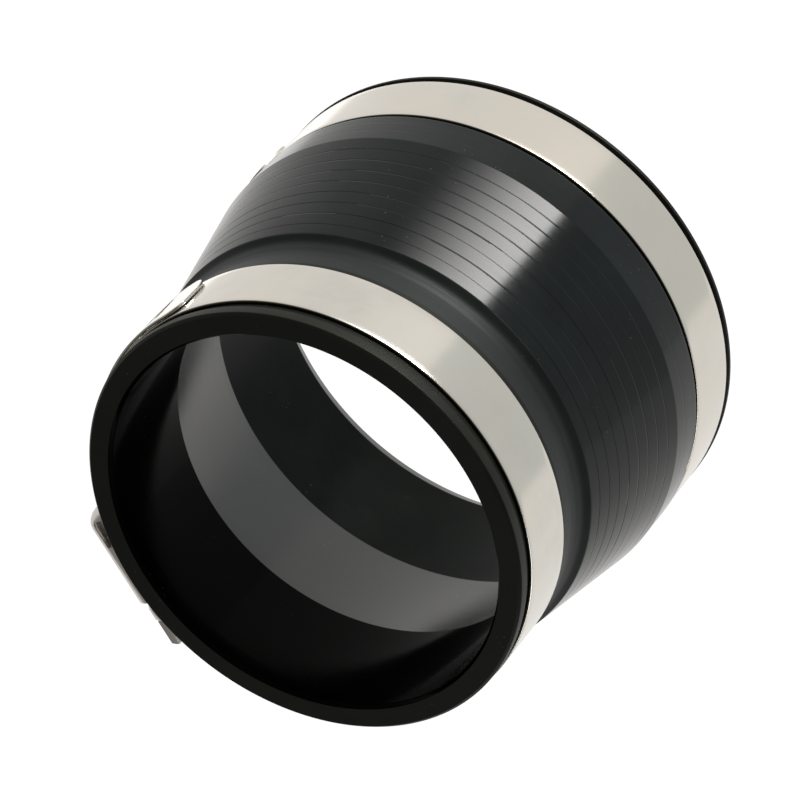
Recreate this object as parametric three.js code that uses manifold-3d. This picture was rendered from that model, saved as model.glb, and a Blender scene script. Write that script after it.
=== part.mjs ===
// Stepped rubber pipe coupling with two stainless worm-drive band clamps.
// Millimetres, +Z up. The part stands on its large end; +Z points to the small end.
import * as THREE from 'three';
import { mergeVertices, toCreasedNormals } from 'three/addons/utils/BufferGeometryUtils.js';
import Module from 'manifold-3d';

const wasm = await Module();
wasm.setup();
const { Manifold, Mesh } = wasm;

// ---------------------------------------------------------------- dimensions
const LENGTH = 121.0;          // overall length of the sleeve
const SMALL_OD = 134.0;        // lip of the small end
const SMALL_BORE = 119.4;      // bore of the small end
const LARGE_OD = 152.0;        // lip of the large end
const LARGE_BODY_OD = 152.2;   // large cylinder between cone and band
const CONE_START_R = 68.7;     // outside radius where the cone leaves the neck
const LARGE_BORE = 138.0;      // bore of the large end
const MOUTH_D = 144.2;         // lead-in bevel at the large mouth
const SLEEVE_SEGMENTS = 72;

const BAND_WIDTH = 20.0;
const BAND_T = 0.8;            // strip thickness
const LAYER_GAP = 0.3;         // running gap between strip layers and to the rubber
const SMALL_SEAT_R = 66.2;     // rubber under the small band
const LARGE_SEAT_R = 74.8;     // rubber under the large band
const SMALL_BAND_Z = 104.4;    // mid-height of the small band
const LARGE_BAND_Z = 13.5;     // mid-height of the large band

const MECH_AZ = 220.5;         // azimuth where the screw is tangent to the band
const LARGE_TURN = 1.0;        // the large clamp sits this many degrees further round
const SADDLE_FROM = 216.2, SADDLE_TO = 244.0;
const LOOP_FROM = 215.6, LOOP_TO = 227.4 - 360.0;
const RISE_FROM = 263.0 - 360.0, RISE_TO = 246.0 - 360.0;
const TAIL_ROOT = 6.6;         // strip length from the tangent point to the tail's root
const SMALL_TAIL_TO = 133.0, LARGE_TAIL_TO = 152.0;   // azimuths of the free ends

const PITCH = 4.0;             // worm lead
const THREAD_R = 6.2;          // thread crest radius
const CORE_R = 5.1;            // worm core radius
const AXIS_H = 7.4;            // screw axis above the band's inner face
const SLOT_W = 2.4;            // slot width along the strip
const SLOT_L = 11.0;           // slot length across the strip
const BARREL_R = 7.4;          // outside radius of the housing barrel
const BARREL_BORE_R = 6.5;
const HOOD_L = 5.0;            // length of the rounded hood past the barrel's tip end
const COLLAR_R = 6.4;
const HEX_AF = 11.0;           // across flats of the screw head
const WALL_OUT = 10.9, WALL_IN = 10.2;   // half-widths of the housing's side walls
const BARREL_T0 = -15.0, BARREL_T1 = 11.6;
const WALL_T0 = -8.5, WALL_T1 = 9.5;

// ------------------------------------------------------------------- helpers
const rad = (d) => (d * Math.PI) / 180;

function closedGeometry(positions, triangles) {
  let volume = 0;
  const p = positions;
  for (const [a, b, c] of triangles) {
    const [ax, ay, az] = p[a], [bx, by, bz] = p[b], [cx, cy, cz] = p[c];
    volume += ax * (by * cz - bz * cy) + ay * (bz * cx - bx * cz) + az * (bx * cy - by * cx);
  }
  const index = [];
  for (const [a, b, c] of triangles) index.push(...(volume > 0 ? [a, b, c] : [a, c, b]));
  const g = new THREE.BufferGeometry();
  g.setAttribute('position', new THREE.Float32BufferAttribute(p.flat(), 3));
  g.setIndex(index);
  return g;
}

// Rings of equal point count joined in order and capped at both ends.
function loft(rings, cap2d) {
  const n = rings[0].length;
  const positions = rings.flat();
  const tris = [];
  for (let i = 0; i + 1 < rings.length; i++) {
    for (let j = 0; j < n; j++) {
      const k = (j + 1) % n;
      const a = i * n + j, b = i * n + k, c = (i + 1) * n + k, d = (i + 1) * n + j;
      tris.push([a, b, c], [a, c, d]);
    }
  }
  const last = (rings.length - 1) * n;
  const faces = cap2d
    ? THREE.ShapeUtils.triangulateShape(cap2d.map(([x, y]) => new THREE.Vector2(x, y)), [])
    : Array.from({ length: n - 2 }, (_, i) => [0, i + 1, i + 2]);
  const ccw = cap2d ? THREE.ShapeUtils.area(cap2d.map(([x, y]) => new THREE.Vector2(x, y))) > 0 : true;
  for (const [a, b, c] of faces) {
    const f = ccw ? [a, b, c] : [a, c, b];
    // side quads run a-b with the ring, so the first cap runs against it
    tris.push(ccw ? [f[0], f[2], f[1]] : [f[0], f[1], f[2]]);
    tris.push(ccw ? [last + f[0], last + f[1], last + f[2]] : [last + f[0], last + f[2], last + f[1]]);
  }
  return closedGeometry(positions, tris);
}

function solid(geometry) {
  let g = geometry.clone();
  g.deleteAttribute('normal');
  g.deleteAttribute('uv');
  g = mergeVertices(g, 1e-5);
  return new Manifold(new Mesh({
    numProp: 3,
    vertProperties: new Float32Array(g.attributes.position.array),
    triVerts: new Uint32Array(g.index.array),
  }));
}

function geometryOf(manifold) {
  const m = manifold.getMesh();
  const g = new THREE.BufferGeometry();
  g.setAttribute('position', new THREE.Float32BufferAttribute(new Float32Array(m.vertProperties), 3));
  g.setIndex(new THREE.Uint32BufferAttribute(new Uint32Array(m.triVerts), 1));
  return g;
}

// Polygon in the (across, radial) plane pushed along the tangent.
const prism = (poly, t0, t1) => loft([t0, t1].map((t) => poly.map(([y, h]) => [t, y, h])), poly);

function lathe(profile, segments) {
  const g = new THREE.LatheGeometry(profile.map(([r, z]) => new THREE.Vector2(r, z)), segments);
  g.deleteAttribute('normal');
  g.deleteAttribute('uv');
  const merged = mergeVertices(g, 1e-5);
  const pos = [], tri = [];
  const a = merged.attributes.position, idx = merged.index.array;
  for (let i = 0; i < a.count; i++) pos.push([a.getX(i), -a.getZ(i), a.getY(i)]);
  for (let i = 0; i < idx.length; i += 3) {
    const t = [idx[i], idx[i + 1], idx[i + 2]];
    if (t[0] !== t[1] && t[1] !== t[2] && t[0] !== t[2]) tri.push(t);
  }
  return closedGeometry(pos, tri);
}

// Tangential frame of a clamp: x along the screw towards its head, y across the band, z outwards.
function clampFrame(innerR, zc) {
  const f = rad(MECH_AZ);
  const m = new THREE.Matrix4();
  m.makeBasis(
    new THREE.Vector3(-Math.sin(f), Math.cos(f), 0),
    new THREE.Vector3(0, 0, 1),
    new THREE.Vector3(Math.cos(f), Math.sin(f), 0),
  );
  m.setPosition(Math.cos(f) * innerR, Math.sin(f) * innerR, zc);
  return m;
}

// ----------------------------------------------------------------- materials
const material = (name, color, roughness, metalness) =>
  Object.assign(new THREE.MeshStandardMaterial({ color, roughness, metalness }), { name });

const group = new THREE.Group();
group.name = 'pipe_coupling';

function addMesh(name, geometry, mat, turn = 0) {
  geometry.rotateZ(rad(turn));
  const mesh = new THREE.Mesh(toCreasedNormals(geometry, rad(25)), mat);
  mesh.name = name;
  group.add(mesh);
}

// -------------------------------------------------------------------- sleeve
const z = (fromSmall) => LENGTH - fromSmall;
const so = SMALL_OD / 2, lo = LARGE_OD / 2, lb = LARGE_BODY_OD / 2;
const sleeveProfile = [
  // outside, small end to large end
  [so - 0.5, z(0)],
  [so, z(0.5)],
  [so, z(3.9)],
  [SMALL_SEAT_R, z(4.4)],
  [SMALL_SEAT_R, z(29.0)],
  [SMALL_SEAT_R - 0.3, z(36.0)],
  [66.6, z(38.6)],
  [68.0, z(40.8)],
  [CONE_START_R, z(41.8)],
  [72.55, z(62.5)],
  [lb - 0.35, z(81.5)],
  [lb, z(84.0)],
  [lb, z(95.8)],
  [LARGE_SEAT_R, z(96.2)],
  [LARGE_SEAT_R, z(118.7)],
  [lo, z(119.1)],
  [lo, z(120.5)],
  [lo - 0.5, z(121)],
  // inside, large end back to small end
  [MOUTH_D / 2, z(121)],
  [LARGE_BORE / 2, z(116)],
  [LARGE_BORE / 2 + 0.3, z(80)],
  [65.9, z(66)],
  [62.35, z(51)],
  [SMALL_BORE / 2 - 0.5, z(37.6)],
  [SMALL_BORE / 2, z(1.0)],
  [60.5, z(0)],
];
sleeveProfile.push(sleeveProfile[0]);
addMesh('rubber_sleeve', lathe(sleeveProfile, SLEEVE_SEGMENTS), material('rubber', 0x10120f, 0.38, 0));

// -------------------------------------------------------------------- clamps
// Strip of rectangular section; radius and width may change along the arc.
function strip(innerR, zc, from, to, stepDeg, heightAt, halfWidthAt) {
  const steps = Math.ceil(Math.abs(to - from) / stepDeg);
  const stations = Array.from({ length: steps + 1 }, (_, i) => from + ((to - from) * i) / steps);
  return stripThrough(innerR, zc, stations, heightAt, halfWidthAt);
}
function stripThrough(innerR, zc, stations, heightAt, halfWidthAt) {
  const rings = stations.map((deg) => {
    const r0 = innerR + heightAt(deg), r1 = r0 + BAND_T, w = halfWidthAt(deg);
    const c = Math.cos(rad(deg)), s = Math.sin(rad(deg));
    return [
      [r0 * c, r0 * s, zc - w], [r1 * c, r1 * s, zc - w],
      [r1 * c, r1 * s, zc + w], [r0 * c, r0 * s, zc + w],
    ];
  });
  return loft(rings);
}

function threadRidge() {
  const before = 2.1, after = 1.3, perTurn = 20;      // turns either side of x = 0
  const n = Math.round((before + after) * perTurn);
  const rings = [];
  for (let i = 0; i <= n; i++) {
    const u = i / perTurn - before;
    const ends = Math.min(1, Math.min(i, n - i) / 4);
    const crest = CORE_R + 0.06 + (THREAD_R - CORE_R - 0.06) * ends;
    // left-hand helix whose middle ridge faces the band at x = 0
    const a = -Math.PI / 2 - u * 2 * Math.PI;
    const x = u * PITCH, c = Math.cos(a), s = Math.sin(a);
    rings.push([
      [x - 0.85, (CORE_R - 0.4) * c, (CORE_R - 0.4) * s], [x - 0.45, crest * c, crest * s],
      [x + 0.45, crest * c, crest * s], [x + 0.85, (CORE_R - 0.4) * c, (CORE_R - 0.4) * s],
    ]);
  }
  return loft(rings);
}

// Body turned about the local x axis, from (radius, x) pairs.
function turned(profile, segments, phase = 0) {
  const rings = profile.map(([r, x]) => Array.from({ length: segments }, (_, j) => {
    const a = phase + (j / segments) * 2 * Math.PI;
    return [x, r * Math.cos(a), r * Math.sin(a)];
  }));
  return loft(rings);
}

function wormScrew() {
  const round = solid(turned([
    [4.3, -10.3], [CORE_R, -9.6], [CORE_R, 10.1], [3.8, 10.3], [3.8, 13.3],
    [COLLAR_R - 0.3, 13.5], [COLLAR_R, 14.2], [COLLAR_R, 17.6], [COLLAR_R - 0.6, 18.5], [5.4, 18.9],
  ], 28));
  const hexR = HEX_AF / Math.sqrt(3);
  const hex = solid(turned([[hexR, 18.2], [hexR, 26.8]], 6, Math.PI / 6));
  const crown = solid(turned([[hexR + 0.3, 18.1], [hexR + 0.3, 25.6], [hexR - 0.9, 26.9]], 28));
  const slot = solid(prism([[-7, -0.75], [7, -0.75], [7, 0.75], [-7, 0.75]], 24.4, 27.5));
  return round.add(solid(threadRidge())).add(hex.intersect(crown)).subtract(slot);
}

function housing(innerR) {
  const arc = (r, from, to, n) => Array.from({ length: n + 1 }, (_, i) => {
    const a = rad(from + ((to - from) * i) / n);
    return [r * Math.cos(a), AXIS_H + r * Math.sin(a)];
  });
  const box = (y, h0, h1, t0, t1) => solid(prism([[-y, h0], [y, h0], [y, h1], [-y, h1]], t0, t1));
  const outer = [
    [-WALL_OUT, -0.9], [WALL_OUT, -0.9], [WALL_OUT, 3.2], [WALL_OUT - 0.7, 3.9], [8.5, 4.5], [7.6, 5.4],
    ...arc(BARREL_R, -8, 188, 18), [-7.6, 5.4], [-8.5, 4.5], [-(WALL_OUT - 0.7), 3.9], [-WALL_OUT, 3.2],
  ];
  const passage = [
    [-WALL_IN, -1.2], [WALL_IN, -1.2], [WALL_IN, 2.4], [WALL_IN - 0.3, 2.7], [-(WALL_IN - 0.3), 2.7], [-WALL_IN, 2.4],
  ];
  // barrel with a rounded hood at the tip end, hollow right through to the head-end wall
  const hood = [0.985, 0.94, 0.85, 0.7, 0.5, 0.25, 0];
  const dome = (r, length, t0) => hood.map((u) => [r * Math.sqrt(1 - u * u), t0 - length * u]);
  const barrel = solid(turned([...dome(BARREL_R, HOOD_L, BARREL_T0), [BARREL_R, BARREL_T1 - 0.6], [BARREL_R - 0.6, BARREL_T1]], 32));
  const bore = solid(turned([...dome(BARREL_BORE_R, HOOD_L - 0.9, BARREL_T0), [BARREL_BORE_R, BARREL_T1 - 1.0]], 32));
  let body = solid(prism(outer, WALL_T0, WALL_T1)).add(barrel.translate(0, 0, AXIS_H));
  body = body.subtract(solid(prism(passage, -24, 20)));
  body = body.subtract(bore.translate(0, 0, AXIS_H));
  body = body.subtract(solid(turned([[4.1, 0], [4.1, BARREL_T1 + 1]], 24)).translate(0, 0, AXIS_H));
  // gaps under the barrel on both sides of the side walls
  body = body.subtract(box(9, -1, AXIS_H + 2.5, -16.9, WALL_T0));
  body = body.subtract(box(9, -1, AXIS_H + 1.0, WALL_T1, BARREL_T1 - 1.0));
  // the side walls end on a curve concentric with the sleeve
  const seat = solid(turnedAboutZ(innerR - 0.1, 30));
  return { body, seat };
}
function turnedAboutZ(r, half) {
  const ring = (zz) => Array.from({ length: 144 }, (_, j) => {
    const a = (j / 144) * 2 * Math.PI;
    return [r * Math.cos(a), r * Math.sin(a), zz];
  });
  return loft([ring(-half), ring(half)]);
}

function addClamp(prefix, seatR, zc, tailTo, turn, tones) {
  const Ri = seatR + LAYER_GAP;
  const frame = clampFrame(Ri, zc);
  const outerH = BAND_T + LAYER_GAP;
  const place = (m) => m.transform(frame.elements);

  const rise = (deg) => {
    const u = Math.min(1, Math.max(0, (deg - RISE_FROM) / (RISE_TO - RISE_FROM)));
    return outerH * u * u * (3 - 2 * u);
  };
  addMesh(`${prefix}_band`, strip(Ri, zc, LOOP_FROM, LOOP_TO, 4.0, rise, () => BAND_WIDTH / 2),
    material(`${prefix}_band_steel`, tones.band, 0.34, 0.9), turn);

  addMesh(`${prefix}_saddle`, strip(Ri, zc, SADDLE_FROM, SADDLE_TO, 4.0, () => 0, () => BAND_WIDTH / 2),
    material(`${prefix}_saddle_steel`, tones.saddle, 0.4, 0.9), turn);

  // slotted tail: slots in step with the worm, rounded free end
  const midR = Ri + outerH + BAND_T / 2;
  const stepDeg = (PITCH / midR) * (180 / Math.PI);
  const endHalf = (deg) => {
    const s = rad(deg - tailTo) * midR;             // arc left to the free end
    const r = BAND_WIDTH / 2;
    return s >= 5 ? r : r * Math.sqrt(Math.max(0.2, 1 - ((5 - s) / 5) ** 2 * 0.8));
  };
  const TAIL_FROM = MECH_AZ + (TAIL_ROOT / midR) * (180 / Math.PI);
  const stations = [];
  for (let d = TAIL_FROM; d > tailTo + 4.4; d -= 4.0) stations.push(d);
  for (const d of [4.0, 3.0, 2.0, 1.2, 0.5, 0]) stations.push(tailTo + d);
  let tail = solid(stripThrough(Ri, zc, stations, () => outerH, endHalf));
  // the worm's helix meets the strip at this slope
  const slope = PITCH / (2 * Math.PI * (THREAD_R - 0.4));
  for (let k = 3; ; k--) {
    const deg = MECH_AZ + k * stepDeg;
    if (deg < tailTo + 7) break;
    if (deg > TAIL_FROM - 1.5) continue;
    const l = SLOT_L / 2, w = SLOT_W / 2, d = -l * slope;
    const cut = solid(loft([-1.0, 1.0].map((h) => [
      [-w - d, -l, h], [w - d, -l, h], [w + d, l, h], [-w + d, l, h],
    ])));
    const f = rad(deg);
    const m = new THREE.Matrix4().makeBasis(
      new THREE.Vector3(-Math.sin(f), Math.cos(f), 0), new THREE.Vector3(0, 0, 1),
      new THREE.Vector3(Math.cos(f), Math.sin(f), 0));
    m.setPosition(Math.cos(f) * midR, Math.sin(f) * midR, zc);
    tail = tail.subtract(cut.transform(m.elements));
  }
  addMesh(`${prefix}_band_tail`, geometryOf(tail), material(`${prefix}_tail_steel`, tones.tail, 0.34, 0.9), turn);

  const h = housing(Ri);
  const placed = place(h.body).subtract(h.seat.translate(0, 0, zc));
  addMesh(`${prefix}_housing`, geometryOf(placed), material(`${prefix}_housing_steel`, tones.housing, 0.38, 0.9), turn);

  addMesh(`${prefix}_worm_screw`, geometryOf(place(wormScrew().translate(0, 0, AXIS_H))),
    material(`${prefix}_screw_steel`, tones.screw, 0.32, 0.95), turn);
}

const tones = { band: 0xd6cfc8, saddle: 0xc2bdb6, tail: 0xd2ccc4, housing: 0xc9c6c0, screw: 0xb4b1aa };
addClamp('small', SMALL_SEAT_R, SMALL_BAND_Z, SMALL_TAIL_TO, 0, tones);
addClamp('large', LARGE_SEAT_R, LARGE_BAND_Z, LARGE_TAIL_TO, LARGE_TURN, tones);

export default group;
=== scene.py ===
import bpy, bmesh, math
import numpy as np
from mathutils import Matrix, Vector


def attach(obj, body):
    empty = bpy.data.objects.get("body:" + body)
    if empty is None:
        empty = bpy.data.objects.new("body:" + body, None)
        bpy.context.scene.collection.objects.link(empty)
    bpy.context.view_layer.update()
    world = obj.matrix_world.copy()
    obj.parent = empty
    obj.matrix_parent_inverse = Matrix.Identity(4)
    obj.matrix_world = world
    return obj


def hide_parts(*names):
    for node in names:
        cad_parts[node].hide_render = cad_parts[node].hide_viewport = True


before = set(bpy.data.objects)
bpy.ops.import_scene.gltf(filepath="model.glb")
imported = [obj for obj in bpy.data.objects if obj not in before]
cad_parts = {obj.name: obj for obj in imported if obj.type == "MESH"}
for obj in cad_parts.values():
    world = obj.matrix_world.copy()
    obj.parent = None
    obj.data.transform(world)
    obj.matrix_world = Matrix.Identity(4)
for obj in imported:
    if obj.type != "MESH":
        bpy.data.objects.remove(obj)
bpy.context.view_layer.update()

scene = bpy.context.scene
MM = 0.001
L = 121.0

# ------------------------------------------------------------------ dimensions (mm), as in the frame
SMALL_SEAT_R, LARGE_SEAT_R = 66.2, 74.8
SMALL_BAND_Z, LARGE_BAND_Z = 104.4, 13.5
BAND_T, BAND_HALF, GAP = 0.8, 10.0, 0.3
MECH_AZ = 220.5
LARGE_TURN = 1.0
PITCH, THREAD_R = 4.0, 6.2


# ------------------------------------------------------------------ mesh helpers
def make_object(name, verts, faces, sharp=35.0, slots=None, face_slot=None):
    me = bpy.data.meshes.new(name)
    me.from_pydata([tuple(v) for v in verts], [], faces)
    me.validate()
    bm = bmesh.new()
    bm.from_mesh(me)
    bmesh.ops.recalc_face_normals(bm, faces=bm.faces)
    bm.to_mesh(me)
    bm.free()
    me.shade_smooth()
    me.set_sharp_from_angle(angle=math.radians(sharp))
    ob = bpy.data.objects.new(name, me)
    scene.collection.objects.link(ob)
    return ob


def loft(rings, closed_path=False, caps=True):
    """Quads between rings of equal length."""
    n = len(rings[0])
    verts = [p for r in rings for p in r]
    faces = []
    m = len(rings)
    for i in range(m if closed_path else m - 1):
        a, b = i * n, ((i + 1) % m) * n
        for j in range(n):
            k = (j + 1) % n
            faces.append((a + j, a + k, b + k, b + j))
    if caps and not closed_path:
        faces.append(tuple(range(n - 1, -1, -1)))
        faces.append(tuple((m - 1) * n + j for j in range(n)))
    return verts, faces


def fillet(points, radii, n=5):
    """Round the corners of an open polyline; radii per point, 0 keeps the corner."""
    out = []
    for i, p in enumerate(points):
        r = radii[i]
        if r <= 0 or i in (0, len(points) - 1):
            out.append(p)
            continue
        p = np.array(p, float)
        a = np.array(points[i - 1], float) - p
        b = np.array(points[i + 1], float) - p
        la, lb = np.linalg.norm(a), np.linalg.norm(b)
        a /= la
        b /= lb
        half = math.acos(max(-1, min(1, float(a @ b)))) / 2
        t = min(r / math.tan(half), la * 0.49, lb * 0.49)
        s, e = p + a * t, p + b * t
        for k in range(n + 1):
            u = k / n
            out.append(tuple((1 - u) ** 2 * s + 2 * u * (1 - u) * p + u ** 2 * e))
    return [tuple(map(float, q)) for q in out]


def hash01(*k):
    h = math.sin(sum(v * c for v, c in zip(k, (12.9898, 78.233, 37.719, 4.581)))) * 43758.5453
    return h - math.floor(h)


def wave1(x, seed):
    """Smooth value noise in [0, 1]."""
    i = math.floor(x)
    f = x - i
    f = f * f * (3 - 2 * f)
    return hash01(i, seed) * (1 - f) + hash01(i + 1, seed) * f


def finished(ob, body, slot, *nodes):
    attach(ob, body)
    if nodes:
        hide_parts(*nodes)
    return ob


def apply_modifiers(ob):
    bpy.context.view_layer.update()
    dg = bpy.context.evaluated_depsgraph_get()
    me = bpy.data.meshes.new_from_object(ob.evaluated_get(dg))
    ob.modifiers.clear()
    old = ob.data
    ob.data = me
    bpy.data.meshes.remove(old)


def shade(ob, sharp):
    ob.data.shade_smooth()
    ob.data.set_sharp_from_angle(angle=math.radians(sharp))


# ------------------------------------------------------------------ node helpers
class Nodes:
    def __init__(self, tree):
        self.t = tree
        tree.nodes.clear()

    def add(self, kind, **props):
        n = self.t.nodes.new(kind)
        for k, v in props.items():
            if k.startswith("i_"):
                n.inputs[k[2:].replace("_", " ")].default_value = v
            else:
                setattr(n, k, v)
        return n

    def link(self, a, b):
        self.t.links.new(a, b)

    def math(self, op, a, b=None, c=None, clamp=False):
        n = self.t.nodes.new("ShaderNodeMath")
        n.operation = op
        n.use_clamp = clamp
        for i, v in enumerate((a, b, c)):
            if v is None:
                continue
            if isinstance(v, (int, float)):
                n.inputs[i].default_value = v
            else:
                self.link(v, n.inputs[i])
        return n.outputs[0]

    def smooth(self, v, lo, hi, a=0.0, b=1.0):
        n = self.t.nodes.new("ShaderNodeMapRange")
        n.interpolation_type = "SMOOTHSTEP"
        self.link(v, n.inputs["Value"])
        n.inputs["From Min"].default_value = lo
        n.inputs["From Max"].default_value = hi
        n.inputs["To Min"].default_value = a
        n.inputs["To Max"].default_value = b
        return n.outputs["Result"]

    def noise(self, vector, scale, detail=2.0, rough=0.5):
        n = self.t.nodes.new("ShaderNodeTexNoise")
        n.inputs["Scale"].default_value = scale
        n.inputs["Detail"].default_value = detail
        n.inputs["Roughness"].default_value = rough
        if vector is not None:
            self.link(vector, n.inputs["Vector"])
        return n.outputs["Fac"]

    def mix(self, fac, a, b):
        n = self.t.nodes.new("ShaderNodeMix")
        n.data_type = "RGBA"
        if isinstance(fac, (int, float)):
            n.inputs[0].default_value = fac
        else:
            self.link(fac, n.inputs[0])
        for i, v in ((6, a), (7, b)):
            if isinstance(v, tuple):
                n.inputs[i].default_value = (*v, 1.0)
            else:
                self.link(v, n.inputs[i])
        return n.outputs[2]

    def combine(self, x, y, z):
        n = self.t.nodes.new("ShaderNodeCombineXYZ")
        for i, v in enumerate((x, y, z)):
            if isinstance(v, (int, float)):
                n.inputs[i].default_value = v
            else:
                self.link(v, n.inputs[i])
        return n.outputs[0]


def cylindrical(N):
    """Object position as (angle in radians, radius, height) in metres."""
    tc = N.add("ShaderNodeTexCoord")
    sep = N.add("ShaderNodeSeparateXYZ")
    N.link(tc.outputs["Object"], sep.inputs[0])
    x, y, z = sep.outputs
    ang = N.math("ARCTAN2", y, x)
    rr = N.math("SQRT", N.math("ADD", N.math("MULTIPLY", x, x), N.math("MULTIPLY", y, y)))
    return tc, ang, rr, z


def material(name):
    m = bpy.data.materials.new(name)
    m.use_nodes = True
    N = Nodes(m.node_tree)
    out = N.add("ShaderNodeOutputMaterial")
    bsdf = N.add("ShaderNodeBsdfPrincipled")
    N.link(bsdf.outputs[0], out.inputs[0])
    return m, N, bsdf


def rubber(name, rough, base, dust, bump_mm, streak, spec=0.5):
    m, N, b = material(name)
    tc, ang, rr, z = cylindrical(N)
    obj = tc.outputs["Object"]
    big = N.noise(obj, 38.0, 3.0, 0.55)
    fine = N.noise(obj, 900.0, 3.0, 0.6)
    # fine turned streaks running round the sleeve
    sv = N.combine(N.math("MULTIPLY", ang, 1.6), N.math("MULTIPLY", rr, 900.0), N.math("MULTIPLY", z, 900.0))
    lines = N.noise(sv, 1.0, 3.0, 0.65)
    # sparse specks of dust and mould talc
    vor = N.add("ShaderNodeTexVoronoi", feature="F1")
    vor.inputs["Scale"].default_value = 420.0
    N.link(obj, vor.inputs["Vector"])
    speck = N.math("MULTIPLY", N.smooth(vor.outputs["Distance"], 0.10, 0.04), N.smooth(N.noise(obj, 60.0, 2.0), 0.52, 0.66))
    c = N.mix(N.smooth(big, 0.35, 0.70), base, tuple(v * 1.45 + 0.001 for v in base))
    c = N.mix(N.math("MULTIPLY", speck, dust), c, (0.16, 0.16, 0.15))
    N.link(c, b.inputs["Base Color"])
    r = N.math("ADD", rough, N.math("MULTIPLY", N.math("SUBTRACT", big, 0.5), 0.10))
    r = N.math("ADD", r, N.math("MULTIPLY", N.math("SUBTRACT", lines, 0.5), streak))
    r = N.math("ADD", r, N.math("MULTIPLY", speck, 0.25), clamp=True)
    N.link(r, b.inputs["Roughness"])
    b.inputs["IOR"].default_value = 1.52
    b.inputs["Specular IOR Level"].default_value = spec
    bump = N.add("ShaderNodeBump")
    bump.inputs["Strength"].default_value = 1.0
    bump.inputs["Distance"].default_value = bump_mm * MM
    h = N.math("ADD", N.math("MULTIPLY", fine, 0.5), N.math("MULTIPLY", lines, 0.9))
    N.link(h, bump.inputs["Height"])
    N.link(bump.outputs[0], b.inputs["Normal"])
    return m


def steel(name, base, rough, grain_round=True, grain=0.10, bump_mm=0.0012, stain=0.10):
    """Satin stainless strip: brushed along its length, with faint handling marks."""
    m, N, b = material(name)
    tc, ang, rr, z = cylindrical(N)
    obj = tc.outputs["Object"]
    if grain_round:
        v1 = N.combine(N.math("MULTIPLY", ang, 5.0), 0.0, N.math("MULTIPLY", z, 5200.0))
        v2 = N.combine(N.math("MULTIPLY", ang, 22.0), 3.0, N.math("MULTIPLY", z, 1500.0))
    else:
        sc = N.add("ShaderNodeMapping")
        sc.inputs["Rotation"].default_value = (0.0, 0.0, -math.radians(MECH_AZ + 90.0))
        N.link(obj, sc.inputs["Vector"])
        s2 = N.add("ShaderNodeSeparateXYZ")
        N.link(sc.outputs[0], s2.inputs[0])
        v1 = N.combine(N.math("MULTIPLY", s2.outputs[0], 120.0), N.math("MULTIPLY", s2.outputs[1], 3600.0), N.math("MULTIPLY", s2.outputs[2], 3600.0))
        v2 = N.combine(N.math("MULTIPLY", s2.outputs[0], 400.0), N.math("MULTIPLY", s2.outputs[1], 1200.0), N.math("MULTIPLY", s2.outputs[2], 1200.0))
    hair = N.noise(v1, 1.0, 2.0, 0.6)
    coarse = N.noise(v2, 1.0, 3.0, 0.6)
    cloud = N.noise(obj, 55.0, 4.0, 0.55)
    smear = N.noise(obj, 16.0, 2.0, 0.5)
    dark = tuple(v * (1.0 - stain) for v in base)
    warm = (base[0] * 1.0, base[1] * 0.975, base[2] * 0.945)
    c = N.mix(N.smooth(cloud, 0.35, 0.75), base, dark)
    c = N.mix(N.smooth(smear, 0.40, 0.65), c, warm)
    c = N.mix(N.math("MULTIPLY", N.smooth(hair, 0.45, 0.85), 0.22), c, tuple(v * 0.80 for v in base))
    N.link(c, b.inputs["Base Color"])
    b.inputs["Metallic"].default_value = 1.0
    r = N.math("ADD", rough, N.math("MULTIPLY", N.math("SUBTRACT", hair, 0.5), grain))
    r = N.math("ADD", r, N.math("MULTIPLY", N.math("SUBTRACT", cloud, 0.5), 0.06), clamp=True)
    N.link(r, b.inputs["Roughness"])
    bump = N.add("ShaderNodeBump")
    bump.inputs["Strength"].default_value = 1.0
    bump.inputs["Distance"].default_value = bump_mm * MM
    h = N.math("ADD", N.math("MULTIPLY", hair, 0.8), N.math("MULTIPLY", coarse, 0.8))
    N.link(h, bump.inputs["Height"])
    N.link(bump.outputs[0], b.inputs["Normal"])
    return m


rubber_body = rubber("rubber_moulded", 0.14, (0.0020, 0.0034, 0.0034), 0.5, 0.006, 0.08, spec=0.19)
# neck band: rougher and less specular, with a lighter base colour than the body as painted light to lift the shade
# in the neck
rubber_neck_painted_light = rubber("rubber_neck_painted_light", 0.46, (0.0066, 0.0088, 0.0084), 0.5, 0.012, 0.10, spec=0.22)
rubber_face = rubber("rubber_cut_face", 0.48, (0.0040, 0.0046, 0.0022), 0.6, 0.020, 0.06, spec=0.16)
# painted shade: the near bore is the same rubber as the outside, given a near-black colour and very low specular to
# stand in for the shade inside the sleeve
rubber_bore_painted_shade = rubber("rubber_bore_painted_shade", 0.12, (0.0005, 0.0006, 0.0004), 0.3, 0.005, 0.06, spec=0.03)
# painted light: the inner cone is the same rubber, given a lighter colour and stronger specular to show it lit from
# the front
rubber_step_painted_light = rubber("rubber_inner_step_painted_light", 0.22, (0.0030, 0.0038, 0.0038), 0.3, 0.010, 0.08, spec=0.40)
# painted shade: the far bore is the same rubber, given a darker colour and low specular to stand in for the shade
# deep inside the sleeve
rubber_far_painted_shade = rubber("rubber_far_bore", 0.20, (0.0014, 0.0022, 0.0017), 0.3, 0.008, 0.08, spec=0.05)
steel_band = steel("steel_band", (0.655, 0.632, 0.580), 0.15, grain=0.06)
steel_tail = steel("steel_tail", (0.650, 0.627, 0.575), 0.15, grain=0.06)
steel_press = steel("steel_pressed", (0.72, 0.70, 0.67), 0.30, grain_round=False, stain=0.16)
steel_screw = steel("steel_screw", (0.62, 0.605, 0.58), 0.26, grain_round=False, stain=0.22)


# ------------------------------------------------------------------ rubber sleeve
LINES = [34.2, 38.3, 45.3, 50.0, 54.7, 59.4, 64.1, 68.8, 73.5, 78.3, 88.0, 92.6]


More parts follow.
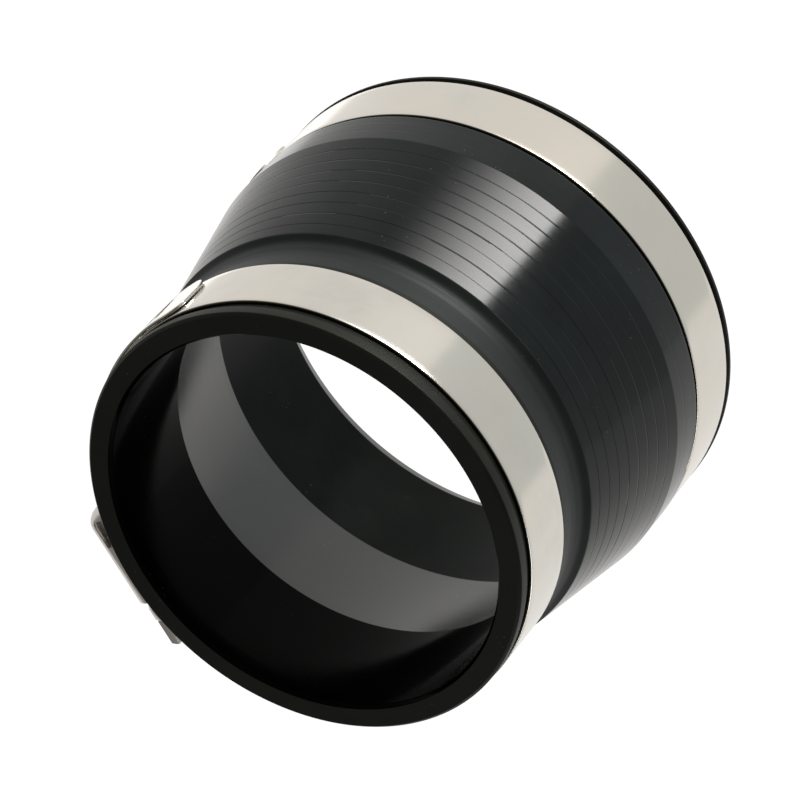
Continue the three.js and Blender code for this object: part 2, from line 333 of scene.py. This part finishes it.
def outer_profile():
    pts = [
        (66.2, 0.0), (67.0, 0.8), (67.0, 3.9), (66.2, 4.5), (66.2, 29.2), (65.95, 36.2), (66.9, 39.4),
        (68.7, 41.2), (76.0, 83.1), (76.12, 95.8), (74.8, 96.3), (74.8, 118.7), (76.0, 119.2), (76.0, 120.3), (75.3, 121.0),
    ]
    rad = [0, 0.6, 0.3, 0.3, 2.0, 6.0, 4.0, 1.0, 2.5, 0.35, 0.2, 0.2, 0.3, 0.5, 0]
    return fillet(pts, rad, 5)


def inner_profile():
    pts = [
        (72.1, 121.0), (69.0, 116.0), (69.3, 80.0), (59.2, 37.6), (59.7, 1.2), (60.6, 0.0),
    ]
    rad = [0, 1.2, 2.0, 1.5, 0.8, 0]
    return fillet(pts, rad, 6)


def build_sleeve():
    outer = outer_profile()
    zs = [p[1] for p in outer]
    rs = [p[0] for p in outer]
    # stations along the outside, closer together at each mould line
    fine = []
    for zl in LINES:
        fine += [zl - 0.36, zl - 0.15, zl - 0.06, zl + 0.06, zl + 0.15, zl + 0.36]
    body = [z for z in np.arange(30.0, 95.5, 1.2) if all(abs(z - zl) > 0.7 for zl in LINES)]
    keep = sorted(set([round(z, 4) for z in zs] + [round(z, 4) for z in fine] + [round(float(z), 4) for z in body]))
    stations = []
    for z in keep:
        r = float(np.interp(z, zs, rs))
        stations.append((r, z))
    inner = inner_profile()
    inner_fine = []
    for a, b in zip(inner[:-1], inner[1:]):
        d = math.hypot(b[0] - a[0], b[1] - a[1])
        k = max(1, int(d / 5.0))
        inner_fine += [(a[0] + (b[0] - a[0]) * i / k, a[1] + (b[1] - a[1]) * i / k) for i in range(k)]
    inner_fine.append(inner[-1])
    prof = stations + inner_fine
    n_out = len(stations)
    seg = 300
    verts, faces = [], []
    for s in range(seg):
        a = 2 * math.pi * s / seg
        ca, sa = math.cos(a), math.sin(a)
        for i, (r, z) in enumerate(prof):
            dr = 0.0
            if i < n_out and 30.0 < z < 95.0:
                for li, zl in enumerate(LINES):
                    d = abs(z - zl)
                    if d < 0.10:
                        depth = 0.03 + 0.05 * wave1(a * 3.0 + li * 7.0, li)
                        depth *= 0.25 if zl > 85 else (0.35 if zl < 40 else (1.0 if zl < 62 else 0.6))
                        dr -= depth
                # slight sag and ripple of moulded rubber
                dr += 0.035 * math.sin(3 * a + z * 0.05) + 0.02 * math.sin(7 * a + 1.3 + z * 0.11)
            rr = r + dr
            verts.append((rr * ca * MM, rr * sa * MM, (L - z) * MM))
    n = len(prof)
    for s in range(seg):
        t = (s + 1) % seg
        for i in range(n):
            k = (i + 1) % n
            faces.append((s * n + i, s * n + k, t * n + k, t * n + i))
    ob = make_object("rubber_sleeve_body", verts, faces, sharp=28.0)
    me = ob.data
    for m in (rubber_body, rubber_face, rubber_bore_painted_shade, rubber_step_painted_light, rubber_far_painted_shade, rubber_neck_painted_light):
        me.materials.append(m)
    for p in me.polygons:
        c = p.center
        r = math.hypot(c.x, c.y) / MM
        z = L - c.z / MM
        nz = abs(p.normal.z)
        if nz > 0.8 and (z < 1.5 or z > 119.5):
            p.material_index = 1
        # inside faces: painted-shade copies of the rubber for the near and far bore, and a painted-light copy for
        # the inner step
        elif (p.normal.x * c.x + p.normal.y * c.y) < 0 and z > 0.3:
            p.material_index = 2 if z < 38.0 else (3 if z < 79.5 else 4)
        elif z < 29.4 or z > 96.0:
            p.material_index = 1
        # the neck band gets the painted-light neck copy of the rubber
        elif z < 41.4:
            p.material_index = 5
    return ob


sleeve = build_sleeve()
finished(sleeve, "sleeve", "rubber", "rubber_sleeve")


# ------------------------------------------------------------------ clamp strips
def section(w, e=0.22, n=3):
    """Rounded rectangle (across, radial) of the strip, radial from 0 to BAND_T."""
    pts = []
    for cx, cy, a0 in ((w - e, BAND_T - e, 0), (-(w - e), BAND_T - e, 90), (-(w - e), e, 180), (w - e, e, 270)):
        for k in range(n + 1):
            a = math.radians(a0 + 90.0 * k / n)
            pts.append((cx + e * math.cos(a), cy + e * math.sin(a)))
    # extra points across the width keep the shading even
    out = []
    for i, p in enumerate(pts):
        out.append(p)
        q = pts[(i + 1) % len(pts)]
        if abs(p[0] - q[0]) > 4:
            for u in (0.1, 0.3, 0.5, 0.7, 0.9):
                out.append((p[0] + (q[0] - p[0]) * u, p[1] + (q[1] - p[1]) * u))
    return out


def strip(name, Ri, zc, stations, height, half, turn=0.0):
    rings = []
    for d in stations:
        a = math.radians(d + turn)
        ring = []
        for x, y in section(half(d)):
            r = Ri + height(d) + y
            ring.append((r * math.cos(a) * MM, r * math.sin(a) * MM, (zc + x) * MM))
        rings.append(ring)
    v, f = loft(rings)
    return make_object(name, v, f, sharp=40.0)


def frange(a, b, step):
    n = max(1, int(math.ceil(abs(b - a) / step)))
    return [a + (b - a) * i / n for i in range(n + 1)]


def node_copy(node, name, bevel_mm, segments, sharp=30.0, limit=32.0):
    """Detailed piece made from a node's own solid: welded, flat faces merged, edges rounded."""
    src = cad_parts[node]
    me = src.data.copy()
    me.name = name
    bm = bmesh.new()
    bm.from_mesh(me)
    bmesh.ops.transform(bm, matrix=src.matrix_world, verts=bm.verts)
    bmesh.ops.remove_doubles(bm, verts=bm.verts, dist=2e-6)
    bmesh.ops.dissolve_limit(bm, angle_limit=math.radians(0.5), verts=bm.verts, edges=bm.edges)
    bmesh.ops.recalc_face_normals(bm, faces=bm.faces)
    bm.to_mesh(me)
    bm.free()
    me.materials.clear()
    ob = bpy.data.objects.new(name, me)
    scene.collection.objects.link(ob)
    b = ob.modifiers.new("edge", "BEVEL")
    b.width = bevel_mm * MM
    b.segments = segments
    b.limit_method = "ANGLE"
    b.angle_limit = math.radians(limit)
    b.use_clamp_overlap = True
    b.harden_normals = False
    apply_modifiers(ob)
    shade(ob, sharp)
    return ob


def add_clamp(prefix, seat_r, zc, tail_to, turn):
    Ri = seat_r + GAP
    outer_h = BAND_T + GAP
    mid_r = Ri + outer_h + BAND_T / 2
    rise_from, rise_to = 263.0 - 360.0, 246.0 - 360.0

    def rise(d):
        u = min(1.0, max(0.0, (d - rise_from) / (rise_to - rise_from)))
        return outer_h * u * u * (3 - 2 * u)

    loop = strip(f"{prefix}_band_strip", Ri, zc, frange(215.6, 227.4 - 360.0, 1.0), rise, lambda d: BAND_HALF, turn)
    loop.data.materials.append(steel_band)
    finished(loop, f"{prefix}_clamp", f"{prefix}_band_steel", f"{prefix}_band")

    saddle = strip(f"{prefix}_saddle_plate", Ri, zc, frange(216.2, 244.0, 1.0), lambda d: 0.0,
                   lambda d: BAND_HALF - 1.6 * max(0.0, (d - 242.8) / 1.2) ** 2, turn)
    saddle.data.materials.append(steel_press)
    finished(saddle, f"{prefix}_clamp", f"{prefix}_saddle_steel", f"{prefix}_saddle")

    # tail: rounded free end, slanted slots in step with the worm
    tail_from = MECH_AZ + math.degrees(6.6 / mid_r)
    step = math.degrees(PITCH / mid_r)

    def half(d):
        s = math.radians(d - tail_to) * mid_r
        if s >= 5:
            return BAND_HALF
        return BAND_HALF * math.sqrt(max(0.2, 1 - ((5 - s) / 5) ** 2 * 0.8))

    st = frange(tail_from, tail_to + 4.4, 1.0)[:-1] + [tail_to + d for d in (4.4, 4.0, 3.4, 2.8, 2.2, 1.6, 1.1, 0.7, 0.4, 0.2, 0.05, 0.0)]
    tail = strip(f"{prefix}_tail_strip", Ri, zc, st, lambda d: outer_h, half, turn)
    slope = PITCH / (2 * math.pi * (THREAD_R - 0.4))
    verts, faces = [], []
    k = 4
    while True:
        k -= 1
        d = MECH_AZ + k * step
        if d < tail_to + 7:
            break
        if d > tail_from - 1.5:
            continue
        f = math.radians(d + turn)
        et = Vector((-math.sin(f), math.cos(f), 0))
        er = Vector((math.cos(f), math.sin(f), 0))
        ez = Vector((0, 0, 1))
        c = er * mid_r + ez * zc
        w, l = 1.2, 5.5
        ring = []
        for end in (1, -1):
            for q in range(7):
                t = math.radians(180 * q / 6) + (0 if end > 0 else math.pi)
                x = w * math.cos(t)
                y = end * (l - w) + w * math.sin(t)
                ring.append((x - y * slope, y))
        base = len(verts)
        for h in (-1.2, 1.2):
            for x, y in ring:
                verts.append((c + et * x + ez * y + er * h) * MM)
        n = len(ring)
        for j in range(n):
            q = (j + 1) % n
            faces.append((base + j, base + q, base + n + q, base + n + j))
        faces.append(tuple(base + j for j in range(n - 1, -1, -1)))
        faces.append(tuple(base + n + j for j in range(n)))
    cutter = make_object(f"{prefix}_slot_cutter", verts, faces)
    mod = tail.modifiers.new("slots", "BOOLEAN")
    mod.operation = "DIFFERENCE"
    mod.solver = "EXACT"
    mod.object = cutter
    apply_modifiers(tail)
    bpy.data.objects.remove(cutter)
    shade(tail, 40.0)
    tail.data.materials.clear()
    tail.data.materials.append(steel_tail)
    finished(tail, f"{prefix}_tail", f"{prefix}_band_tail_steel", f"{prefix}_band_tail")

    hs = node_copy(f"{prefix}_housing", f"{prefix}_housing_shell", 0.28, 3)
    hs.data.materials.append(steel_press)
    finished(hs, f"{prefix}_clamp", f"{prefix}_housing_steel", f"{prefix}_housing")

    sc = node_copy(f"{prefix}_worm_screw", f"{prefix}_screw_body", 0.16, 2, limit=38.0)
    sc.data.materials.append(steel_screw)
    finished(sc, f"{prefix}_screw", f"{prefix}_worm_screw_steel", f"{prefix}_worm_screw")


add_clamp("small", SMALL_SEAT_R, SMALL_BAND_Z, 133.0, 0.0)
add_clamp("large", LARGE_SEAT_R, LARGE_BAND_Z, 152.0, LARGE_TURN)

# ------------------------------------------------------------------ floor, world and light
floor_v, floor_f = [(-4, -4, -0.0004), (4, -4, -0.0004), (4, 4, -0.0004), (-4, 4, -0.0004)], [(0, 1, 2, 3)]
floor = make_object("studio_floor", floor_v, floor_f)
fm = bpy.data.materials.new("floor_white")
fm.use_nodes = True
N = Nodes(fm.node_tree)
o = N.add("ShaderNodeOutputMaterial")
em = N.add("ShaderNodeEmission")
em.inputs["Color"].default_value = (1, 1, 1, 1)
em.inputs["Strength"].default_value = 1.05
N.link(em.outputs[0], o.inputs[0])
floor.data.materials.append(fm)
floor.visible_glossy = False
floor.visible_shadow = False

world = bpy.data.worlds.new("studio")
scene.world = world
world.use_nodes = True
W = Nodes(world.node_tree)
wo = W.add("ShaderNodeOutputWorld")
bg = W.add("ShaderNodeBackground")
W.link(bg.outputs[0], wo.inputs[0])
tc = W.add("ShaderNodeTexCoord")
sp = W.add("ShaderNodeSeparateXYZ")
W.link(tc.outputs["Generated"], sp.inputs[0])
dx, dy, dz = sp.outputs
el = W.math("MULTIPLY", W.math("ARCSINE", dz), 180 / math.pi)
az = W.math("MULTIPLY", W.math("ARCTAN2", dy, dx), 180 / math.pi)


def window(v, a, b, soft_a, soft_b):
    return W.math("MULTIPLY", W.smooth(v, a - soft_a, a + soft_a), W.smooth(v, b - soft_b, b + soft_b, 1.0, 0.0))


# white table below, dim room above
base = W.smooth(el, -10.0, 14.0, 0.95, 0.22)
# dark card that the upright surfaces mirror in the middle of the view
card = W.math("MULTIPLY", window(az, -10.8, 66.0, 0.8, 0.8), W.smooth(el, -80.0, -70.0))
base = W.math("MULTIPLY", base, W.math("SUBTRACT", 1.0, W.math("MULTIPLY", card, 0.22)))
# the cone mirrors a dimmer belt above the table
belt = window(el, -37.0, -8.0, 3.0, 6.0)
base = W.math("MULTIPLY", base, W.math("SUBTRACT", 1.0, W.math("MULTIPLY", belt, 0.15)))
# strip softbox low in front, one crisp side and one feathered side
box = W.math("MULTIPLY", W.math("MULTIPLY", W.smooth(az, 65.2, 66.6), W.math("POWER", W.smooth(az, 64.0, 122.0, 1.0, 0.0), 1.7)), window(el, -34.0, -16.0, 2.0, 5.0))
# small window low on the far side, seen as a glare on the large cylinder
az_back = W.math("ADD", az, W.math("MULTIPLY", W.math("LESS_THAN", az, 0.0), 360.0))
glare = W.math("MULTIPLY", window(az_back, 203.0, 224.0, 3.0, 5.0), window(el, -58.0, -45.0, 3.0, 1.5))
total = W.math("ADD", base, W.math("MULTIPLY", box, 28.0))
total = W.math("ADD", total, W.math("MULTIPLY", glare, 0.5))
W.link(total, bg.inputs["Strength"])
W.link(W.mix(card, (1.0, 0.985, 0.965), (0.965, 0.995, 0.985)), bg.inputs["Color"])

key_data = bpy.data.lights.new("overhead_softbox", "AREA")
key_data.shape = "RECTANGLE"
key_data.size, key_data.size_y = 0.9, 0.6
key_data.energy = 6.0
key = bpy.data.objects.new("overhead_softbox", key_data)
scene.collection.objects.link(key)
key.location = (0.5, -0.9, 1.3)
key.rotation_euler = (Vector((0, 0, 0.05)) - key.location).to_track_quat("-Z", "Y").to_euler()

# ------------------------------------------------------------------ camera
cam_data = bpy.data.cameras.new("camera")
cam_data.sensor_width = 36.0
cam_data.lens = 213.85
cam_data.clip_start, cam_data.clip_end = 0.05, 20.0
cam = bpy.data.objects.new("camera", cam_data)
scene.collection.objects.link(cam)
right = Vector((0.8883686434146719, 0.0863684595582701, -0.45093418875830094))
up = Vector((-0.3360150149776312, 0.7916017679873566, -0.5103533585946833))
back = Vector((0.31288186765480314, 0.6049025790264269, 0.7322552879836509))
m = Matrix((
    (right.x, up.x, back.x, 0.4201473149684339),
    (right.y, up.y, back.y, 0.8172662187905453),
    (right.z, up.z, back.z, 1.0446103567476712),
    (0, 0, 0, 1)))
cam.matrix_world = m
scene.camera = cam

scene.view_settings.view_transform = "Standard"
scene.view_settings.look = "None"
scene.view_settings.exposure = 0.0
scene.view_settings.gamma = 1.0
